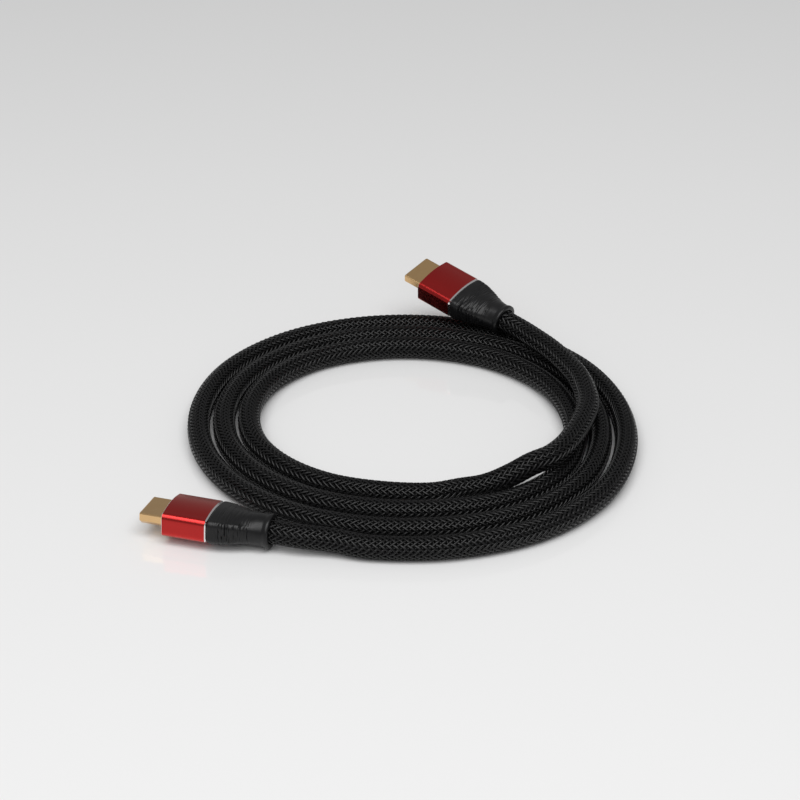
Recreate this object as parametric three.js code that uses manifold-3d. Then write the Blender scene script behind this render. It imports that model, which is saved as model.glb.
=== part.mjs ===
// A braided video cable: two gold-plated plugs in red metal sleeves, and a
// loosely coiled cable of three and a quarter turns that lies on a floor.
// Millimetres, +Z up, floor at z = 0, +X to the right and +Y away from the viewer.
import * as THREE from 'three';
import Module from 'manifold-3d';
import { mergeVertices } from 'three/addons/utils/BufferGeometryUtils.js';

const wasm = await Module();
wasm.setup();

// Cable and the gap that touching pieces keep
const CABLE_D = 8.6;
const GAP = 0.3;
const FLOOR_GAP = 0.15;
const FLOOR_Z = CABLE_D / 2 + FLOOR_GAP;

// Plug, along its axis from the nose: mouth shell, sleeve, strain relief
const SHELL_W = 13.9;
const SHELL_H = 4.45;
const SHELL_SIDE_H = 2.9;
const SHELL_BOTTOM_W = 10.6;
const SHELL_WALL = 0.35;
const SHELL_NICK = 0.45;
const SHELL_CHEEK = 0.35;
const SHELL_FOOT = 0.3;
const SHELL_LEAD_IN = 0.3;
const SHELL_LEAD_INSET = 0.18;
const SHELL_EXPOSED = 9.0;
const SHELL_SEATED = 4.0;
const SLEEVE_W = 19.0;
const SLEEVE_H = 10.8;
const SLEEVE_CROWN = 0.9;
const SLEEVE_CORNER = 2.2;
const SHARPEST_CORNER = 0.4;
const SLEEVE_LENGTH = 16.3;
const SLEEVE_WALL = 0.9;
const SLEEVE_CHAMFER = 0.45;
const BODY_RECESS = 0.5;
const BODY_GAP = 0.7;
const BOOT_LENGTH = 21.0;
const BOOT_SEATED = 2.6;
const COLLAR_R = 5.9;
const LIP_R = 6.3;
const LIP_LENGTH = 2.2;
const BORE_DEPTH = 3.0;
const BORE_GAP = 0.6;
const STRAIGHT = 9.0;

// Strain relief behind the sleeve: place, inset from the sleeve's section,
// and how far it has turned into the round collar
const BOOT_PROFILE = [
  [0.4, 0.4, 0.0],
  [3.0, 0.15, 0.03],
  [5.3, 0.2, 0.1],
  [7.0, 0.3, 0.24],
  [9.5, 0.3, 0.45],
  [12.0, 0.3, 0.7],
  [14.5, 0.3, 0.9],
  [16.5, 0.3, 1.0],
];

// Contacts: two staggered rows in the slot of the insulator
const CONTACT_PITCH = 1.0;
const CONTACT_W = 0.45;
const CONTACT_T = 0.25;
const CONTACT_LENGTH = 6.5;
const CONTACT_SETBACK = 1.6;
const CONTACT_GAP = 0.08;
const UPPER_CONTACTS = 10;
const LOWER_CONTACTS = 9;
const SLOT_H = 1.9;
const SLOT_W = 11.6;
const SLOT_DEPTH = 9.0;
const INSULATOR_SETBACK = 0.8;
const WELD = 1e-4;

// Where each plug lies: its nose, and its turn, lift and roll in degrees
const PLUG_A = { nose: [-87.2, -69.5, 7.1], yaw: 16.4, pitch: 0.8, roll: -5.6 };
const PLUG_B = { nose: [7.4, 88.6, 23.2], yaw: 39.5, pitch: 9.9, roll: 12.3 };

// Coil: eight directions round its centre, anticlockwise from +X. REACH is the
// radius of a turn number nought there, and PITCH what each whole turn adds.
const COIL_CENTRE = [3.1, -6.5];
const REACH = [53.6, 56.35, 57.0, 58.3, 53.3, 46.6, 44.7, 53.4];
const PITCH = [9.4, 9.3, 9.65, 9.3, 9.5, 11.4, 12.0, 10.1];
const COIL_FIRST_TURN = 3.22;
const COIL_LAST_TURN = 0.22;
const POINTS_PER_TURN = 16;

// The upper lead crosses the coil and pushes the turn below it outwards: the
// middle of the push, its half width (both in turns) and its size
const CROSSING_TURN = 1.09;
const CROSSING_WIDTH = 0.06;
const CROSSING_PUSH = 0.7;

// Hand-chosen points of the two leads, between a plug and the coil
const LEAD_A = [
  [-21.4, -86.5, 5.4],
  [-9.9, -89.1, FLOOR_Z],
];
const LEAD_B = [
  [23.3, -51.3, 4.6],
  [29.6, -51.1, 5.5],
  [34.4, -50.5, 6.8],
  [41.5, -48.6, 9.4],
  [48.2, -45.9, 12.0],
  [54.9, -42.4, 12.9],
  [60.3, -35.8, 13.3],
  [64.0, -28.2, 13.3],
  [68.0, -17.0, 13.1],
  [71.1, -2.5, 12.7],
  [69.5, 14.9, 12.9],
  [66.9, 23.4, 13.0],
  [60.5, 37.2, 13.4],
  [53.6, 47.8, 13.7],
];

const TUBE_SIDES = 12;
const TUBE_STEPS = 88;
const RING_POINTS = 48;

// Local plug frame: x from the nose to the cable, y to the far side, z up
function plugMatrix(place) {
  const turn = new THREE.Matrix4().makeRotationZ(-THREE.MathUtils.degToRad(place.yaw));
  const lift = new THREE.Matrix4().makeRotationY(THREE.MathUtils.degToRad(place.pitch));
  const roll = new THREE.Matrix4().makeRotationX(THREE.MathUtils.degToRad(place.roll));
  return new THREE.Matrix4().makeTranslation(...place.nose).multiply(turn).multiply(lift).multiply(roll);
}

function onAxis(place, x) {
  return new THREE.Vector3(x, 0, 0).applyMatrix4(plugMatrix(place));
}

// A closed body from rings of equal count: each ring is a list of [x, y, z]
function loft(rings) {
  const count = rings[0].length;
  const positions = [];
  const index = [];
  for (const ring of rings) {
    for (const point of ring) positions.push(...point);
  }
  for (let r = 0; r < rings.length - 1; r += 1) {
    for (let i = 0; i < count; i += 1) {
      const a = r * count + i;
      const b = r * count + ((i + 1) % count);
      index.push(a, b, a + count, b, b + count, a + count);
    }
  }
  for (const [r, inward] of [[0, true], [rings.length - 1, false]]) {
    const centre = positions.length / 3;
    const middle = [0, 0, 0];
    for (const point of rings[r]) {
      for (let k = 0; k < 3; k += 1) middle[k] += point[k] / count;
    }
    positions.push(...middle);
    for (let i = 0; i < count; i += 1) {
      const a = r * count + i;
      const b = r * count + ((i + 1) % count);
      if (inward) index.push(centre, b, a);
      else index.push(centre, a, b);
    }
  }
  const geometry = new THREE.BufferGeometry();
  geometry.setAttribute('position', new THREE.Float32BufferAttribute(positions, 3));
  geometry.setIndex(index);
  geometry.computeVertexNormals();
  return geometry;
}

// A tube whose wall lies between two closed runs of rings with open ends
function sleeveLoft(outerRings, innerRings) {
  const rings = [...outerRings, ...innerRings.slice().reverse()];
  const count = rings[0].length;
  const positions = rings.flat().flat();
  const index = [];
  for (let r = 0; r < rings.length; r += 1) {
    const next = (r + 1) % rings.length;
    for (let i = 0; i < count; i += 1) {
      const a = r * count + i;
      const b = r * count + ((i + 1) % count);
      const c = next * count + i;
      const d = next * count + ((i + 1) % count);
      index.push(a, b, c, b, d, c);
    }
  }
  const geometry = new THREE.BufferGeometry();
  geometry.setAttribute('position', new THREE.Float32BufferAttribute(positions, 3));
  geometry.setIndex(index);
  geometry.computeVertexNormals();
  return geometry;
}

// Rounded section with arched top and bottom, as a ring at x
function crownedRing(x, width, height, crown, corner) {
  const perArc = RING_POINTS / 4;
  const flat = width / 2 - corner;
  const shoulder = height / 2 - crown - corner;
  const quarter = [];
  for (let i = 0; i < perArc / 2; i += 1) {
    const t = i / (perArc / 2);
    const angle = t * Math.PI / 2;
    quarter.push([flat + corner * Math.cos(angle), shoulder + corner * Math.sin(angle)]);
  }
  for (let i = 0; i < perArc / 2; i += 1) {
    const y = flat * (1 - i / (perArc / 2));
    quarter.push([y, height / 2 - crown * (y / flat) ** 2]);
  }
  const mirrored = (points, sy, sz) => points.map(([y, z]) => [y * sy, z * sz]);
  const right = quarter;
  const topLeft = mirrored(quarter.slice(1), -1, 1).reverse();
  const bottomLeft = mirrored(quarter.slice(1), -1, -1);
  const bottomRight = mirrored(quarter.slice(1), 1, -1).reverse();
  const crest = [[0, height / 2]];
  const trough = [[0, -height / 2]];
  const side = [[-width / 2, shoulder]];
  const lowSide = [[-width / 2, -shoulder]];
  const lowRight = [[width / 2, -shoulder]];
  const outline = [...right, ...crest, ...topLeft, ...side, ...lowSide, ...bottomLeft,
    ...trough, ...bottomRight, ...lowRight];
  return outline.map(([y, z]) => [x, y, z]);
}

function sleeveRing(x, inset) {
  const corner = Math.max(SLEEVE_CORNER - inset, SHARPEST_CORNER);
  return crownedRing(x, SLEEVE_W - 2 * inset, SLEEVE_H - 2 * inset, SLEEVE_CROWN, corner);
}

// Pull a ring of the sleeve's section towards the round collar
function blendRing(x, inset, amount) {
  const ring = sleeveRing(x, inset);
  return ring.map(([, y, z]) => {
    const angle = Math.atan2(z, y);
    const cy = COLLAR_R * Math.cos(angle);
    const cz = COLLAR_R * Math.sin(angle);
    return [x, y + (cy - y) * amount, z + (cz - z) * amount];
  });
}

function sleeve() {
  const start = SHELL_EXPOSED;
  const end = SHELL_EXPOSED + SLEEVE_LENGTH;
  const outer = [
    sleeveRing(start, SLEEVE_CHAMFER),
    sleeveRing(start + SLEEVE_CHAMFER, 0),
    sleeveRing(end - SLEEVE_CHAMFER, 0),
    sleeveRing(end, SLEEVE_CHAMFER),
  ];
  const inner = [sleeveRing(start, SLEEVE_WALL), sleeveRing(end, SLEEVE_WALL)];
  return sleeveLoft(outer, inner);
}

// D-shaped outline of the mouth shell, as [y, z] points anticlockwise
function shellOutline(inset) {
  const halfTop = SHELL_W / 2 - inset;
  const halfBottom = SHELL_BOTTOM_W / 2 - inset * (1 - SHELL_CHEEK);
  const top = SHELL_H / 2 - inset;
  const shoulder = SHELL_H / 2 - SHELL_SIDE_H;
  const bevel = SHELL_NICK * 0.3;
  return [
    [halfTop, shoulder], [halfTop, top - SHELL_NICK], [halfTop - bevel, top - bevel],
    [halfTop - SHELL_NICK, top], [-halfTop + SHELL_NICK, top], [-halfTop + bevel, top - bevel],
    [-halfTop, top - SHELL_NICK], [-halfTop, shoulder],
    [-halfBottom - SHELL_CHEEK, -top + SHELL_FOOT], [-halfBottom, -top],
    [halfBottom, -top], [halfBottom + SHELL_CHEEK, -top + SHELL_FOOT],
  ];
}

function shellRing(x, inset) {
  return shellOutline(inset).map(([y, z]) => [x, y, z]);
}

function mouthShell() {
  const end = SHELL_EXPOSED + SHELL_SEATED;
  const outer = [shellRing(0, SHELL_LEAD_INSET), shellRing(SHELL_LEAD_IN, 0), shellRing(end, 0)];
  const inner = [shellRing(0, SHELL_WALL), shellRing(end, SHELL_WALL)];
  return sleeveLoft(outer, inner);
}

function extrudeAlong(shape, x, length) {
  const geometry = new THREE.ExtrudeGeometry(shape, { depth: length, bevelEnabled: false, steps: 1 });
  const toAxis = new THREE.Matrix4().makeBasis(
    new THREE.Vector3(0, 1, 0), new THREE.Vector3(0, 0, 1), new THREE.Vector3(1, 0, 0));
  return geometry.applyMatrix4(toAxis).translate(x, 0, 0);
}

function asManifold(geometry) {
  const bare = geometry.clone();
  bare.deleteAttribute('normal');
  bare.deleteAttribute('uv');
  const welded = mergeVertices(bare, WELD);
  return new wasm.Manifold(new wasm.Mesh({
    numProp: 3,
    vertProperties: Float32Array.from(welded.attributes.position.array),
    triVerts: Uint32Array.from(welded.index.array),
  }));
}

function cut(geometry, tool) {
  const mesh = asManifold(geometry).subtract(asManifold(tool)).getMesh();
  const result = new THREE.BufferGeometry();
  result.setAttribute('position', new THREE.BufferAttribute(Float32Array.from(mesh.vertProperties), 3));
  result.setIndex(new THREE.BufferAttribute(Uint32Array.from(mesh.triVerts), 1));
  result.computeVertexNormals();
  return result;
}

function shellPrism(inset, x, length) {
  const outline = shellOutline(inset).map(([y, z]) => new THREE.Vector2(y, z));
  return extrudeAlong(new THREE.Shape(outline), x, length);
}

// Insulator: a block in the shell, with the slot that takes a socket's blade
function insulator() {
  const end = SHELL_EXPOSED + SHELL_SEATED - GAP;
  const block = shellPrism(SHELL_WALL + CONTACT_GAP * 2, INSULATOR_SETBACK, end - INSULATOR_SETBACK);
  const slot = new THREE.BoxGeometry(SLOT_DEPTH * 2, SLOT_W, SLOT_H).translate(INSULATOR_SETBACK, 0, 0);
  return cut(block, slot);
}

function contact(row, slotIndex) {
  const count = row > 0 ? UPPER_CONTACTS : LOWER_CONTACTS;
  const y = (slotIndex - (count - 1) / 2) * CONTACT_PITCH;
  const z = row * (SLOT_H / 2 - CONTACT_GAP - CONTACT_T / 2);
  const geometry = new THREE.BoxGeometry(CONTACT_LENGTH, CONTACT_W, CONTACT_T);
  return geometry.translate(CONTACT_SETBACK + CONTACT_LENGTH / 2, y, z);
}

// Moulded body inside the sleeve, round the seated end of the mouth shell
function body() {
  const inset = SLEEVE_WALL + GAP;
  const start = SHELL_EXPOSED + BODY_RECESS;
  const bodyEnd = SHELL_EXPOSED + SLEEVE_LENGTH - BOOT_SEATED - BODY_GAP;
  const block = loft([sleeveRing(start, inset), sleeveRing(bodyEnd, inset)]);
  const seat = shellPrism(-GAP, start - SHELL_SEATED, SHELL_SEATED * 2 - BODY_RECESS + GAP);
  return cut(block, seat);
}

function circleRing(x, radius) {
  return sleeveRing(x, 0).map(([, y, z]) => {
    const angle = Math.atan2(z, y);
    return [x, radius * Math.cos(angle), radius * Math.sin(angle)];
  });
}

// Strain relief: seated in the sleeve, domed behind it, then down to a collar
function boot() {
  const sleeveEnd = SHELL_EXPOSED + SLEEVE_LENGTH;
  const end = sleeveEnd + BOOT_LENGTH;
  const seated = SLEEVE_WALL + GAP;
  const profile = BOOT_PROFILE.map(([x, inset, round]) => blendRing(sleeveEnd + x, inset, round));
  return loft([
    sleeveRing(sleeveEnd - BOOT_SEATED, seated),
    sleeveRing(sleeveEnd + GAP, seated),
    ...profile,
    circleRing(end - LIP_LENGTH, COLLAR_R),
    circleRing(end - LIP_LENGTH / 2, LIP_R),
    circleRing(end, LIP_R - GAP),
    circleRing(end, CABLE_D / 2 + BORE_GAP),
    circleRing(end - BORE_DEPTH, CABLE_D / 2 + BORE_GAP),
  ]);
}

function mix(values, turn) {
  const along = (((turn % 1) + 1) % 1) * values.length;
  const i = Math.floor(along);
  const t = along - i;
  const [a, b, c, d] = [-1, 0, 1, 2].map((k) => values[(i + k + values.length) % values.length]);
  const slope = (c - a) / 2;
  const nextSlope = (d - b) / 2;
  const bend = 2 * b - 2 * c + slope + nextSlope;
  const lean = 3 * c - 3 * b - 2 * slope - nextSlope;
  return ((bend * t + lean) * t + slope) * t + b;
}

// The coil, from its outermost turn in towards its innermost one
function coilPoints() {
  const steps = Math.round((COIL_FIRST_TURN - COIL_LAST_TURN) * POINTS_PER_TURN);
  const points = [];
  for (let i = 0; i <= steps; i += 1) {
    const turn = COIL_FIRST_TURN + (COIL_LAST_TURN - COIL_FIRST_TURN) * (i / steps);
    const push = CROSSING_PUSH * Math.exp(-(((turn - CROSSING_TURN) / CROSSING_WIDTH) ** 2));
    const radius = mix(REACH, -turn) + mix(PITCH, -turn) * turn + push;
    const angle = -turn * Math.PI * 2;
    points.push(new THREE.Vector3(
      COIL_CENTRE[0] + radius * Math.cos(angle), COIL_CENTRE[1] + radius * Math.sin(angle), FLOOR_Z));
  }
  return points;
}

function cableRoute() {
  const end = SHELL_EXPOSED + SLEEVE_LENGTH + BOOT_LENGTH;
  const straight = (place) => [
    onAxis(place, end - BORE_DEPTH + GAP), onAxis(place, end), onAxis(place, end + STRAIGHT)];
  return new THREE.CatmullRomCurve3([
    ...straight(PLUG_A),
    ...LEAD_A.map((point) => new THREE.Vector3(...point)),
    ...coilPoints(),
    ...LEAD_B.map((point) => new THREE.Vector3(...point)),
    ...straight(PLUG_B).reverse(),
  ], false, 'centripetal');
}

function cable() {
  const section = [];
  for (let i = 0; i < TUBE_SIDES; i += 1) {
    const angle = (i / TUBE_SIDES) * Math.PI * 2;
    section.push(new THREE.Vector2(Math.cos(angle), Math.sin(angle)).multiplyScalar(CABLE_D / 2));
  }
  return new THREE.ExtrudeGeometry(new THREE.Shape(section), {
    steps: TUBE_STEPS, bevelEnabled: false, extrudePath: cableRoute() });
}

const FINISH = {
  braid: { color: 0x1c1d20, roughness: 0.5, metalness: 0.0 },
  sleeve: { color: 0xa3121a, roughness: 0.3, metalness: 0.9 },
  gold: { color: 0xd9a85c, roughness: 0.25, metalness: 1.0 },
  contact: { color: 0xe0b060, roughness: 0.25, metalness: 1.0 },
  insulator: { color: 0x101012, roughness: 0.55, metalness: 0.0 },
  body: { color: 0x141416, roughness: 0.6, metalness: 0.0 },
  boot: { color: 0x17181a, roughness: 0.5, metalness: 0.0 },
};

const group = new THREE.Group();

function add(name, geometry, finish) {
  const mesh = new THREE.Mesh(geometry, new THREE.MeshStandardMaterial(FINISH[finish]));
  mesh.name = name;
  group.add(mesh);
}

function addPlug(letter, place) {
  const matrix = plugMatrix(place);
  const placed = (geometry) => geometry.applyMatrix4(matrix);
  add(`plug_${letter}_shell`, placed(mouthShell()), 'gold');
  add(`plug_${letter}_insulator`, placed(insulator()), 'insulator');
  for (const [row, count] of [[1, UPPER_CONTACTS], [-1, LOWER_CONTACTS]]) {
    const side = row > 0 ? 'upper' : 'lower';
    for (let i = 0; i < count; i += 1) {
      add(`plug_${letter}_contact_${side}_${i + 1}`, placed(contact(row, i)), 'contact');
    }
  }
  add(`plug_${letter}_body`, placed(body()), 'body');
  add(`plug_${letter}_sleeve`, placed(sleeve()), 'sleeve');
  add(`plug_${letter}_strain_relief`, placed(boot()), 'boot');
}

add('braided_cable', cable(), 'braid');
addPlug('a', PLUG_A);
addPlug('b', PLUG_B);

export default group;
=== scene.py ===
import math

import bmesh
import bpy
import numpy as np
from mathutils import Matrix, Vector, noise


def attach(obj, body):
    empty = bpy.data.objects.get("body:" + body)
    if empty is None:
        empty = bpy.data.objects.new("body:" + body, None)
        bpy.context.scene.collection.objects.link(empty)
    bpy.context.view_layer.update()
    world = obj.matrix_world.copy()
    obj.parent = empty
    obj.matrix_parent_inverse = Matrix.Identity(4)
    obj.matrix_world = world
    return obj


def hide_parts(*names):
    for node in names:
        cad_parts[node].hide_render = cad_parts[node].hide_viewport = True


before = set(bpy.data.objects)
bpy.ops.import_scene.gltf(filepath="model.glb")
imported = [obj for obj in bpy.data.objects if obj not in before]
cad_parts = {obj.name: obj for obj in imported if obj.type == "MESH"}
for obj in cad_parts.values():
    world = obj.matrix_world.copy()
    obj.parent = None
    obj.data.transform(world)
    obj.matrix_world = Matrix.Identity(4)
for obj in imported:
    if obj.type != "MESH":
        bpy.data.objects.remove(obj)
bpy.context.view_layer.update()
MM = 0.001

# Cable, plugs and route, as in the part's source, in millimetres
CABLE_D = 8.6
FLOOR_Z = CABLE_D / 2 + 0.15
SLEEVE_FRONT = 9.0
SLEEVE_LENGTH = 16.3
SLEEVE_W = 19.0
SLEEVE_H = 10.8
SLEEVE_CROWN = 0.9
SLEEVE_CORNER = 2.2
SLEEVE_WALL = 0.9
SLEEVE_END = SLEEVE_FRONT + SLEEVE_LENGTH
BOOT_LENGTH = 21.0
BOOT_SEATED = 2.6
BOOT_END = SLEEVE_END + BOOT_LENGTH
BORE_DEPTH = 3.0
PLUG_GAP = 0.3
STRAIGHT = 9.0
PLUG_A = {"nose": (-87.2, -69.5, 7.1), "yaw": 16.4, "pitch": 0.8, "roll": -5.6}
PLUG_B = {"nose": (7.4, 88.6, 23.2), "yaw": 39.5, "pitch": 9.9, "roll": 12.3}
COIL_CENTRE = (3.1, -6.5)
REACH = (53.6, 56.35, 57.0, 58.3, 53.3, 46.6, 44.7, 53.4)
PITCH = (9.4, 9.3, 9.65, 9.3, 9.5, 11.4, 12.0, 10.1)
COIL_FIRST_TURN = 3.22
COIL_LAST_TURN = 0.22
POINTS_PER_TURN = 16
CROSSING_TURN = 1.09
CROSSING_WIDTH = 0.06
CROSSING_PUSH = 0.7
LEAD_A = [(-21.4, -86.5, 5.4), (-9.9, -89.1, FLOOR_Z)]
LEAD_B = [
    (23.3, -51.3, 4.6), (29.6, -51.1, 5.5), (34.4, -50.5, 6.8), (41.5, -48.6, 9.4),
    (48.2, -45.9, 12.0), (54.9, -42.4, 12.9), (60.3, -35.8, 13.3), (64.0, -28.2, 13.3),
    (68.0, -17.0, 13.1), (71.1, -2.5, 12.7), (69.5, 14.9, 12.9), (66.9, 23.4, 13.0),
    (60.5, 37.2, 13.4), (53.6, 47.8, 13.7),
]

# Boot behind the sleeve: place, inset from the sleeve's section, and how far
# it has turned into the round collar
BOOT_PROFILE = (
    (0.3, 0.2, 0.0), (0.7, 0.0, 0.0), (3.0, 0.0, 0.0), (5.3, 0.05, 0.06), (7.0, 0.1, 0.15),
    (9.5, 0.1, 0.33), (12.0, 0.1, 0.57), (14.5, 0.1, 0.8), (16.5, 0.1, 0.94), (18.6, 0.1, 1.0),
)
BOOT_STEP = 0.18
COLLAR_R = 5.9
LIP_R = 6.3
BORE_R = CABLE_D / 2 + 0.2

# Rolled lip: place from the boot's end, and radius
LIP_PROFILE = (
    (-2.2, COLLAR_R), (-1.7, COLLAR_R + 0.12), (-1.2, LIP_R - 0.05), (-0.7, LIP_R),
    (-0.25, LIP_R - 0.06), (0.0, LIP_R - 0.4), (0.0, BORE_R + 0.3), (-0.3, BORE_R + 0.05),
    (-BORE_DEPTH, BORE_R),
)

# Wrinkles: where they start and end, how fast they fade there, their depth as
# a share of the boot's mean radius, and how far the noise runs along and round
WRINKLES = (1.6, 15.8)
WRINKLE_FADE = (2.5, 2.0)
WRINKLE_DEPTH = 0.32 / 7.5
VALLEY_WIDTH = 0.16
BROAD_FOLDS = (0.75, 0.6, 0.0)
FINE_FOLDS = (1.7, 0.9, 9.0)
FINE_SHARE = 0.6
WRINKLE_PLACE = {"a": 0.0, "b": 40.0}

# Sleeve: bright cut edges, the step inside each end, and how the section is cut up
FRONT_BRIGHT = 0.22
REAR_BRIGHT = 0.5
END_RECESS = 1.6
RIM_SIDE = SLEEVE_W / 2 - 0.8
RIM_TOP = SLEEVE_H / 2 - SLEEVE_CROWN - 0.7
CORNER_STEPS = 8
CROWN_STEPS = 6
SIDE_STEPS = 3
SAME_PLACE = 1e-3

# Braid: carriers each way, their slant, and one ribbon's size
CARRIERS = 14
CARRIER_STEP = 2.37
RIBBON_W = 1.34
RIBBON_T = 0.17
RIBBON_EDGE = 0.6
RIBBON_BELOW = 1.2
BRAID_SWING = 0.13
SWING_SHARPNESS = 1.8
RINGS_PER_STEP = 4
CORE_STEP = 3.0
BRAID_R = CABLE_D / 2 - BRAID_SWING - RIBBON_T
CORE_D = 2 * (BRAID_R - BRAID_SWING)

# Camera: where it looks, how high and how far, for a frame of 800 by 800
LOOK_AT = (1.1, 22.5, 0.0)
ELEVATION = 29.0
DISTANCE = 900.0
FOCAL_PIXELS = 2340.0
FRAME_PIXELS = 800
SENSOR_MM = 36.0

# Light and floor, in metres and watts
WORLD_LIGHT = 0.3
TOP_BOX = {"place": (0.0, -0.7, 1.8), "size": (2.4, 1.1), "power": 29.0}
FRONT_BOX = {"place": (-0.3, -1.35, 1.15), "size": (1.6, 0.6), "power": 6.0}
FLOOR_SIZE = 8.0


def add_camera():
    tilt = math.radians(ELEVATION)
    away = Vector((0.0, -math.cos(tilt), math.sin(tilt)))
    data = bpy.data.cameras.new("camera")
    data.sensor_width = SENSOR_MM
    data.lens = SENSOR_MM * FOCAL_PIXELS / FRAME_PIXELS
    data.clip_start = 0.01
    camera = bpy.data.objects.new("camera", data)
    camera.location = (Vector(LOOK_AT) + away * DISTANCE) * MM
    camera.rotation_euler = (math.pi / 2 - tilt, 0.0, 0.0)
    bpy.context.scene.collection.objects.link(camera)
    bpy.context.scene.camera = camera


def plug_matrix(place):
    """Plug frame to the row frame: x from the nose to the cable, y to the far side, z up."""
    turn = Matrix.Rotation(-math.radians(place["yaw"]), 4, "Z")
    lift = Matrix.Rotation(math.radians(place["pitch"]), 4, "Y")
    roll = Matrix.Rotation(math.radians(place["roll"]), 4, "X")
    return Matrix.Translation(place["nose"]) @ turn @ lift @ roll


def round_profile(values, turn):
    """Smooth value at a part of a turn, from values at eight directions."""
    along = (turn % 1.0) * len(values)
    i = int(along)
    t = along - i
    a, b, c, d = (values[(i + k) % len(values)] for k in (-1, 0, 1, 2))
    slope, next_slope = (c - a) / 2, (d - b) / 2
    bend = 2 * b - 2 * c + slope + next_slope
    lean = 3 * c - 3 * b - 2 * slope - next_slope
    return ((bend * t + lean) * t + slope) * t + b


def coil_points():
    steps = round((COIL_FIRST_TURN - COIL_LAST_TURN) * POINTS_PER_TURN)
    points = []
    for i in range(steps + 1):
        turn = COIL_FIRST_TURN + (COIL_LAST_TURN - COIL_FIRST_TURN) * i / steps
        push = CROSSING_PUSH * math.exp(-((turn - CROSSING_TURN) / CROSSING_WIDTH) ** 2)
        radius = round_profile(REACH, -turn) + round_profile(PITCH, -turn) * turn + push
        angle = -turn * 2 * math.pi
        points.append((COIL_CENTRE[0] + radius * math.cos(angle),
                       COIL_CENTRE[1] + radius * math.sin(angle), FLOOR_Z))
    return points


def straight_end(place):
    stations = (BOOT_END - BORE_DEPTH + PLUG_GAP, BOOT_END, BOOT_END + STRAIGHT)
    return [tuple(plug_matrix(place) @ Vector((x, 0, 0))) for x in stations]


def smooth_curve(points, per_span=24):
    """Centripetal Catmull-Rom curve through the points."""
    p = np.array(points, float)
    p = np.vstack([2 * p[0] - p[1], p, 2 * p[-1] - p[-2]])
    out = []
    t = np.linspace(0, 1, per_span, endpoint=False)[:, None]
    for i in range(1, len(p) - 2):
        a, b, c, d = p[i - 1:i + 3]
        d0, d1, d2 = (math.sqrt(np.linalg.norm(v)) for v in (b - a, c - b, d - c))
        m1 = d1 * ((b - a) / d0 - (c - a) / (d0 + d1) + (c - b) / d1)
        m2 = d1 * ((c - b) / d1 - (d - b) / (d1 + d2) + (d - c) / d2)
        out.append(b + m1 * t + (3 * (c - b) - 2 * m1 - m2) * t ** 2
                   + (2 * (b - c) + m1 + m2) * t ** 3)
    return np.vstack([*out, p[-2:-1]])


def spaced(points, step):
    """The same line with points a step apart, and the line's length."""
    gaps = np.linalg.norm(np.diff(points, axis=0), axis=1)
    along = np.concatenate([[0], np.cumsum(gaps)])
    wanted = np.linspace(0, along[-1], max(2, round(along[-1] / step) + 1))
    return np.stack([np.interp(wanted, along, points[:, k]) for k in range(3)], axis=1), along[-1]


def carried_frames(points):
    """Tangents and side vectors that are carried along the line without twist."""
    tangent = np.gradient(points, axis=0)
    tangent /= np.linalg.norm(tangent, axis=1)[:, None]
    side = np.zeros_like(tangent)
    current = np.cross(tangent[0], (0, 0, 1))
    for i, t in enumerate(tangent):
        current = current - t * np.dot(current, t)
        current /= np.linalg.norm(current)
        side[i] = current
    return tangent, side, np.cross(side, tangent)


route = smooth_curve([*straight_end(PLUG_A), *LEAD_A, *coil_points(), *LEAD_B,
                      *reversed(straight_end(PLUG_B))])


class Socket:
    """A shader socket. Sums and products of it add the Math nodes."""

    def __init__(self, finish, socket):
        self.finish = finish
        self.socket = socket

    def maths(self, operation, *others):
        return self.finish.node("ShaderNodeMath", {"operation": operation},
                                dict(enumerate((self, *others))))

    def __add__(self, other):
        return self.maths("ADD", other)

    def __mul__(self, other):
        return self.maths("MULTIPLY", other)

    __radd__ = __add__
    __rmul__ = __mul__


class Finish:
    """One material, built back from its Principled shader."""

    def __init__(self, name, **constants):
        self.material = bpy.data.materials.new(name)
        self.material.use_nodes = True
        self.tree = self.material.node_tree
        self.shader = self.tree.nodes["Principled BSDF"]
        for socket, value in constants.items():
            self.shader.inputs[socket.replace("_", " ")].default_value = value

    def node(self, kind, settings=None, inputs=None, output=0):
        made = self.tree.nodes.new(kind)
        for key, value in (settings or {}).items():
            setattr(made, key, value)
        for key, value in (inputs or {}).items():
            if isinstance(value, Socket):
                self.tree.links.new(value.socket, made.inputs[key])
            else:
                made.inputs[key].default_value = value
        return Socket(self, made.outputs[output])

    def feed(self, **sockets):
        for name, value in sockets.items():
            self.tree.links.new(value.socket, self.shader.inputs[name.replace("_", " ")])

    def place(self):
        return self.node("ShaderNodeTexCoord", output="Object")

    def noise(self, vector, scale, detail=3.0, roughness=0.55):
        return self.node("ShaderNodeTexNoise", None,
                         {"Vector": vector, "Scale": scale, "Detail": detail, "Roughness": roughness})

    def stretch(self, vector, scale):
        return self.node("ShaderNodeMapping", None, {"Vector": vector, "Scale": scale})

    def blend(self, factor, low, high):
        return self.node("ShaderNodeMix", {"data_type": "RGBA"},
                         {"Factor": factor, "A": (*low, 1.0), "B": (*high, 1.0)}, output="Result")

    def bump(self, height, strength, distance):
        return self.node("ShaderNodeBump", None,
                         {"Height": height, "Strength": strength, "Distance": distance})


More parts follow.
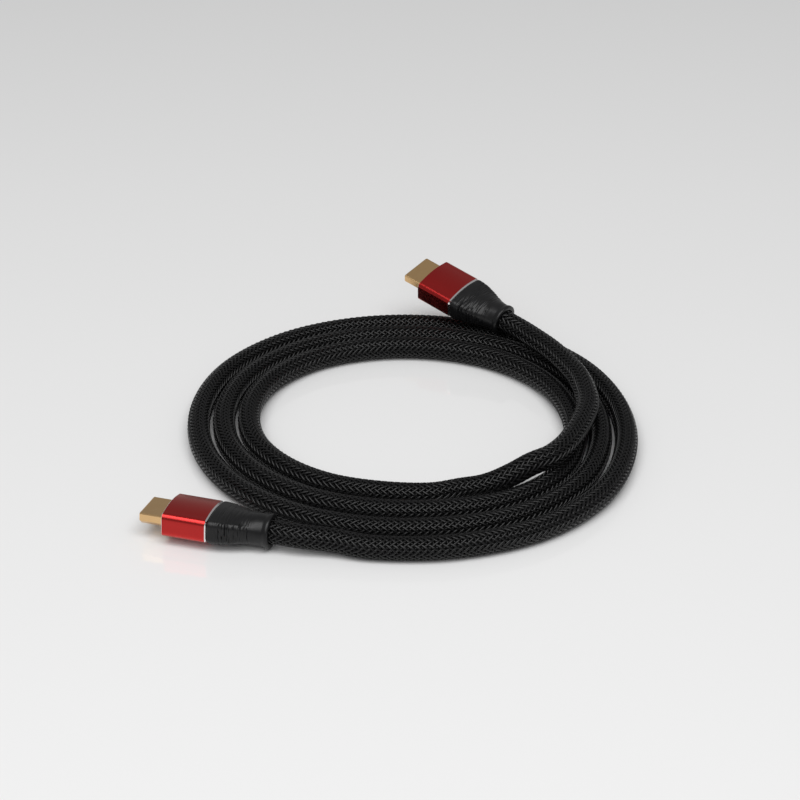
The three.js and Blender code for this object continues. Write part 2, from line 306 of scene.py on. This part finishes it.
def braid_finish():
    """Glossy black monofilament: fine filaments along each ribbon of the braid."""
    f = Finish("black_braid", Specular_IOR_Level=0.3)
    uv = f.node("ShaderNodeTexCoord", output="UV")
    along, across = f.stretch(uv, (0.6, 7.0, 1.0)), f.node("ShaderNodeSeparateXYZ", None, {0: uv}, "Y")
    strands = (across * (7 * 2 * math.pi)).maths("SINE")
    flecks = f.noise(along, 3.0, 2.0)
    f.feed(Base_Color=f.blend(flecks, (0.002, 0.002, 0.002), (0.007, 0.007, 0.0075)),
           Roughness=flecks * 0.12 + 0.17,
           Normal=f.bump(strands * 0.5 + flecks * 0.5, 0.25, 0.00004))
    return f.material


def core_finish():
    f = Finish("core_black")
    grain = f.noise(f.place(), 1800.0)
    f.feed(Base_Color=f.blend(grain, (0.003, 0.003, 0.003), (0.008, 0.008, 0.008)),
           Roughness=grain * 0.2 + 0.6)
    return f.material


def red_finish():
    """Red anodised aluminium, finely blasted, under a thin clear layer."""
    f = Finish("red_anodised", Metallic=1.0, Coat_Weight=0.6, Coat_Roughness=0.22,
               Coat_Tint=(1.0, 0.8, 0.6, 1.0))
    grain = f.noise(f.place(), 5200.0, 2.0)
    cloud = f.noise(f.place(), 90.0, 2.0)
    f.feed(Base_Color=f.blend(cloud, (0.47, 0.009, 0.010), (0.54, 0.014, 0.013)),
           Roughness=grain * 0.08 + 0.2,
           Normal=f.bump(grain, 0.12, 0.00003))
    return f.material


def bare_metal_finish():
    f = Finish("bright_cut_aluminium", Metallic=1.0)
    grain = f.noise(f.place(), 3000.0, 2.0)
    f.feed(Base_Color=f.blend(grain, (0.86, 0.84, 0.84), (0.94, 0.93, 0.93)),
           Roughness=grain * 0.1 + 0.14)
    return f.material


def gold_finish(name="gold_plate"):
    f = Finish(name, Metallic=1.0)
    haze = f.noise(f.place(), 320.0, 4.0)
    grain = f.noise(f.stretch(f.place(), (1.0, 6.0, 1.0)), 1500.0, 2.0)
    f.feed(Base_Color=f.blend(haze, (0.78, 0.50, 0.24), (0.84, 0.56, 0.28)),
           Roughness=grain * 0.04 + haze * 0.06 + 0.15)
    return f.material


def boot_finish():
    f = Finish("boot_black", Specular_IOR_Level=0.35)
    grain = f.noise(f.place(), 2600.0, 2.0)
    cloud = f.noise(f.place(), 260.0, 3.0)
    f.feed(Base_Color=f.blend(cloud, (0.003, 0.003, 0.0035), (0.008, 0.008, 0.0085)),
           Roughness=cloud * 0.14 + 0.27,
           Normal=f.bump(grain + cloud, 0.15, 0.00005))
    return f.material


def moulded_finish():
    f = Finish("moulded_black")
    grain = f.noise(f.place(), 3000.0, 2.0)
    f.feed(Base_Color=f.blend(grain, (0.006, 0.006, 0.007), (0.014, 0.014, 0.015)),
           Roughness=grain * 0.2 + 0.45, Normal=f.bump(grain, 0.15, 0.00004))
    return f.material


def floor_finish():
    f = Finish("pale_floor", Roughness=0.06, Specular_IOR_Level=0.5)
    cloud = f.noise(f.place(), 0.8, 2.0)
    f.feed(Base_Color=f.blend(cloud, (0.86, 0.86, 0.86), (0.88, 0.88, 0.88)))
    return f.material


def add_cable_core():
    line, length = spaced(route, CORE_STEP)
    curve = bpy.data.curves.new("cable_core", "CURVE")
    curve.dimensions = "3D"
    curve.bevel_depth = CORE_D / 2 * MM
    curve.bevel_resolution = 3
    curve.use_fill_caps = True
    spline = curve.splines.new("POLY")
    spline.points.add(len(line) - 1)
    for point, (x, y, z) in zip(spline.points, line):
        point.co = (x * MM, y * MM, z * MM, 1.0)
    core = bpy.data.objects.new("cable_core", curve)
    bpy.context.scene.collection.objects.link(core)
    core.data.materials.append(core_finish())
    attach(core, "root")
    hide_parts("braided_cable")
    return core, line, length


def braid_rings(line, direction, carrier):
    """Rings of a ribbon's section: it winds round the line, over two and under two."""
    step = 2 * math.pi / CARRIERS
    _, length = spaced(line, 1.0)
    samples = int(length / (CARRIER_STEP / RINGS_PER_STEP)) + 1
    points, _ = spaced(line, length / (samples - 1))
    tangent, side, up = carried_frames(points)
    z = np.linspace(0, length, len(points))
    angle = direction * step * z / CARRIER_STEP + carrier * step
    wave = direction * np.cos(math.pi / 2 * (2 * angle / step - 0.5))
    radius = BRAID_R + BRAID_SWING * np.tanh(SWING_SHARPNESS * wave) / math.tanh(SWING_SHARPNESS)
    outward = side * np.cos(angle)[:, None] + up * np.sin(angle)[:, None]
    around = up * np.cos(angle)[:, None] - side * np.sin(angle)[:, None]
    slant = math.atan(BRAID_R * step / CARRIER_STEP) * direction
    broad = around * math.cos(slant) - tangent * math.sin(slant)
    middle = points + outward * radius[:, None]
    half = RIBBON_W / 2
    droop = half ** 2 / (2 * BRAID_R)
    return np.stack([
        middle - broad * half - outward * (droop + RIBBON_T * RIBBON_EDGE),
        middle - outward * RIBBON_T * RIBBON_BELOW,
        middle + broad * half - outward * (droop + RIBBON_T * RIBBON_EDGE),
        middle + outward * RIBBON_T,
    ], axis=1)


def add_braid(line, name, direction, carriers, material):
    """Several ribbons as one piece, each a closed flat tube."""
    vertices, faces, uvs = [], [], []
    base = 0
    for carrier in carriers:
        rings = braid_rings(line, direction, carrier)
        count, sides = rings.shape[:2]
        vertices.append(rings.reshape(-1, 3))
        for i in range(count - 1):
            for k in range(sides):
                a, b = base + i * sides + k, base + i * sides + (k + 1) % sides
                faces.append((a, b, b + sides, a + sides))
                v0, v1 = (1.0, 0.5, 0.0, 0.5)[k], (1.0, 0.5, 0.0, 0.5)[(k + 1) % sides]
                u0, u1 = i / RINGS_PER_STEP, (i + 1) / RINGS_PER_STEP
                uvs.extend(((u0, v0), (u0, v1), (u1, v1), (u1, v0)))
        first, last = base, base + (count - 1) * sides
        faces.append(tuple(first + k for k in reversed(range(sides))))
        faces.append(tuple(last + k for k in range(sides)))
        uvs.extend([(0.0, 0.0)] * (2 * sides))
        base += count * sides
    mesh = bpy.data.meshes.new(name)
    mesh.from_pydata(np.vstack(vertices) * MM, [], faces)
    layer = mesh.uv_layers.new(name="weave")
    layer.data.foreach_set("uv", np.array(uvs, float).ravel())
    mesh.polygons.foreach_set("use_smooth", [True] * len(mesh.polygons))
    mesh.materials.append(material)
    mesh.update()
    piece = bpy.data.objects.new(name, mesh)
    bpy.context.scene.collection.objects.link(piece)
    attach(piece, "root")
    return piece


def add_jacket(line):
    material = braid_finish()
    half = CARRIERS // 2
    pieces = []
    for letter, direction in (("left", 1), ("right", -1)):
        for part, carriers in enumerate((range(half), range(half, CARRIERS)), 1):
            pieces.append(add_braid(line, f"braid_{letter}_{part}", direction, carriers, material))
    return pieces


def edit_mesh(piece):
    return bmesh.from_edit_mesh(piece.data)


def pick(piece, test, kind="faces"):
    """Select only the faces, edges or points that pass the test."""
    bpy.ops.mesh.select_all(action="DESELECT")
    bpy.ops.mesh.select_mode(type={"faces": "FACE", "edges": "EDGE", "verts": "VERT"}[kind])
    mesh = edit_mesh(piece)
    for part in getattr(mesh, kind):
        if test(part):
            part.select_set(True)
    mesh.select_flush_mode()
    bmesh.update_edit_mesh(piece.data)


def crowned_block(name, start, end):
    """A block with rounded long edges and arched top and bottom, in the plug's frame."""
    width, height, corner = SLEEVE_W, SLEEVE_H, SLEEVE_CORNER
    flat = width / 2 - corner
    bpy.ops.object.select_all(action="DESELECT")
    bpy.ops.mesh.primitive_cube_add(size=1.0, location=((start + end) / 2, 0, 0))
    block = bpy.context.object
    block.name = block.data.name = name
    block.scale = (end - start, width, height - 2 * SLEEVE_CROWN)
    bpy.ops.object.transform_apply(location=True, scale=True)
    bpy.ops.object.mode_set(mode="EDIT")
    pick(block, lambda e: abs(e.verts[0].co.x - e.verts[1].co.x) > SAME_PLACE, "edges")
    bpy.ops.mesh.bevel(offset=corner, segments=CORNER_STEPS, profile=0.5)
    rows = [flat * k / CROWN_STEPS for k in range(1 - CROWN_STEPS, CROWN_STEPS)]
    side = height / 2 - SLEEVE_CROWN - corner
    side_rows = [side * k / SIDE_STEPS for k in range(1 - SIDE_STEPS, SIDE_STEPS)]
    cuts = [((0, y, 0), (0, 1, 0)) for y in rows] + [((0, 0, z), (0, 0, 1)) for z in side_rows]
    for place, normal in cuts:
        bpy.ops.mesh.select_all(action="SELECT")
        bpy.ops.mesh.bisect(plane_co=place, plane_no=normal)
    for y in rows:
        for up in (1, -1):
            pick(block, lambda v: abs(v.co.y - y) < SAME_PLACE and v.co.z * up > height / 4, "verts")
            bpy.ops.transform.translate(value=(0, 0, up * SLEEVE_CROWN * (1 - (y / flat) ** 2)))
    for x in (start, end):
        pick(block, lambda f: abs(f.calc_center_median().x - x) < SAME_PLACE)
        bpy.ops.mesh.dissolve_faces()
    return block


def set_down(block, place, node):
    """Out of edit mode, into place on the plug, and in for the plain node."""
    if block.mode == "EDIT":
        bpy.ops.mesh.select_all(action="SELECT")
        bpy.ops.mesh.normals_make_consistent(inside=False)
        bpy.ops.object.mode_set(mode="OBJECT")
    block.data.transform(Matrix.Scale(MM, 4) @ plug_matrix(place))
    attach(block, "root")
    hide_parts(node)
    return block


def faces_out(face):
    """True for a face of the long outer wall, whose normal leaves the plug's axis."""
    middle = face.calc_center_median()
    return abs(face.normal.x) < 0.3 and face.normal.y * middle.y + face.normal.z * middle.z > 0


def add_sleeve(letter, place, red, bright):
    sleeve = crowned_block(f"sleeve_{letter}", SLEEVE_FRONT, SLEEVE_END)
    for end, inwards in ((SLEEVE_FRONT, 1), (SLEEVE_END, -1)):
        pick(sleeve, lambda f: abs(f.calc_center_median().x - end) < SAME_PLACE)
        bpy.ops.mesh.inset(thickness=SLEEVE_WALL)
        bpy.ops.mesh.extrude_region_move(TRANSFORM_OT_translate={"value": (inwards * END_RECESS, 0, 0)})
    for end, cut in ((SLEEVE_FRONT, FRONT_BRIGHT), (SLEEVE_END, REAR_BRIGHT)):
        pick(sleeve, lambda e: all(abs(v.co.x - end) < SAME_PLACE for v in e.verts)
             and any(faces_out(f) for f in e.link_faces), "edges")
        bpy.ops.mesh.bevel(offset=cut, segments=1)
    set_down(sleeve, place, f"plug_{letter}_sleeve")
    bpy.ops.object.shade_smooth_by_angle(angle=math.radians(28))
    sleeve.data.materials.append(red)
    sleeve.data.materials.append(bright)
    axis = plug_matrix(place).to_3x3() @ Vector((1, 0, 0))
    to_plug = plug_matrix(place).inverted()
    for face in sleeve.data.polygons:
        middle = to_plug @ (face.center / MM)
        near_rim = abs(middle.y) > RIM_SIDE or abs(middle.z) > RIM_TOP
        if abs(face.normal.dot(axis)) > 0.2 and near_rim:
            face.material_index = 1
    return sleeve


def fold(x, angle, folds):
    """Noise for the wrinkles: it changes fast along the boot and slowly round it."""
    along, around, shift = folds
    return noise.noise(Vector((x * along, around * math.cos(angle), around * math.sin(angle) + shift)))


def boot_outline(section, x, inset, roundness, wrinkle):
    """The sleeve's section on its way to the round collar, drawn in at each valley."""
    points = []
    for y, z in section:
        angle = math.atan2(z, y)
        y *= 1 - 2 * inset / SLEEVE_W
        z *= 1 - 2 * inset / SLEEVE_H
        y += (COLLAR_R * math.cos(angle) - y) * roundness
        z += (COLLAR_R * math.sin(angle) - z) * roundness
        broad = fold(x, angle, BROAD_FOLDS)
        fine = fold(x, angle, FINE_FOLDS)
        valleys = [max(0.0, 1 - abs(v) / VALLEY_WIDTH) for v in (broad, fine)]
        give = 1 - wrinkle * WRINKLE_DEPTH * (valleys[0] + valleys[1] * FINE_SHARE + abs(broad))
        points.append((y * give, z * give))
    return points


def add_boot(letter, place, material):
    """Strain relief: wrinkled dome behind the sleeve, then a smooth collar with a lip."""
    start = SLEEVE_END - BOOT_SEATED
    boot = crowned_block(f"boot_{letter}", start, SLEEVE_END + PLUG_GAP)
    pick(boot, lambda f: abs(f.calc_center_median().x - SLEEVE_END - PLUG_GAP) < SAME_PLACE)

    def rim():
        return sorted((v for v in edit_mesh(boot).verts if v.select),
                      key=lambda v: math.atan2(v.co.z, v.co.y))

    section = [(v.co.y, v.co.z) for v in rim()]
    angles = [math.atan2(z, y) for y, z in section]
    margin = 2 * (SLEEVE_WALL + PLUG_GAP)
    for vertex in edit_mesh(boot).verts:
        vertex.co.y *= 1 - margin / SLEEVE_W
        vertex.co.z *= 1 - margin / SLEEVE_H

    def lay_ring(points):
        bpy.ops.mesh.extrude_region_move(TRANSFORM_OT_translate={"value": (0.01, 0, 0)})
        for vertex, point in zip(rim(), points):
            vertex.co = point
        bmesh.update_edit_mesh(boot.data)

    places, insets, roundings = zip(*BOOT_PROFILE)
    for x in np.arange(places[0], places[-1], BOOT_STEP):
        inset = float(np.interp(x, places, insets))
        roundness = float(np.interp(x, places, roundings))
        fade = min(1.0, max(0.0, x - WRINKLES[0]) / WRINKLE_FADE[0],
                   max(0.0, WRINKLES[1] - x) / WRINKLE_FADE[1])
        outline = boot_outline(section, x + WRINKLE_PLACE[letter], inset, roundness, fade)
        lay_ring([(SLEEVE_END + x, y, z) for y, z in outline])
    for x, radius in LIP_PROFILE:
        lay_ring([(BOOT_END + x, radius * math.cos(a), radius * math.sin(a)) for a in angles])
    set_down(boot, place, f"plug_{letter}_strain_relief")
    bpy.ops.object.shade_smooth_by_angle(angle=math.radians(50))
    boot.data.materials.append(material)
    return boot


def add_plug_pieces():
    red, bright, rubber = red_finish(), bare_metal_finish(), boot_finish()
    pieces = {}
    for letter, place in (("a", PLUG_A), ("b", PLUG_B)):
        pieces[letter] = (add_sleeve(letter, place, red, bright), add_boot(letter, place, rubber))
    return pieces


def dress_nodes():
    finishes = {
        "shell": gold_finish(), "contact": gold_finish("contact_gold"), "insulator": moulded_finish(),
        "body": moulded_finish(),
    }
    for name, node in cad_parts.items():
        for word, material in finishes.items():
            if word in name:
                node.data.materials.clear()
                node.data.materials.append(material)


def add_softbox(name, box):
    """A rectangular light that faces the middle of the floor."""
    data = bpy.data.lights.new(name, "AREA")
    data.shape = "RECTANGLE"
    data.size, data.size_y = box["size"]
    data.energy = box["power"]
    lamp = bpy.data.objects.new(name, data)
    lamp.location = box["place"]
    lamp.rotation_euler = (-Vector(box["place"])).to_track_quat("-Z", "Y").to_euler()
    bpy.context.scene.collection.objects.link(lamp)


def add_studio():
    bpy.ops.mesh.primitive_plane_add(size=FLOOR_SIZE, location=(0, 0, 0))
    floor = bpy.context.object
    floor.name = "floor"
    floor.data.materials.append(floor_finish())
    world = bpy.data.worlds.new("studio")
    world.use_nodes = True
    world.node_tree.nodes["Background"].inputs["Color"].default_value = (1, 1, 1, 1)
    world.node_tree.nodes["Background"].inputs["Strength"].default_value = WORLD_LIGHT
    bpy.context.scene.world = world
    bpy.context.scene.view_settings.view_transform = "Standard"
    add_softbox("top_box", TOP_BOX)
    add_softbox("front_box", FRONT_BOX)


add_camera()
core, cable_line, cable_length = add_cable_core()
jacket = add_jacket(cable_line)
plug_pieces = add_plug_pieces()
dress_nodes()
add_studio()

tuple(c * MM for c in straight_end(PLUG_A)[1])
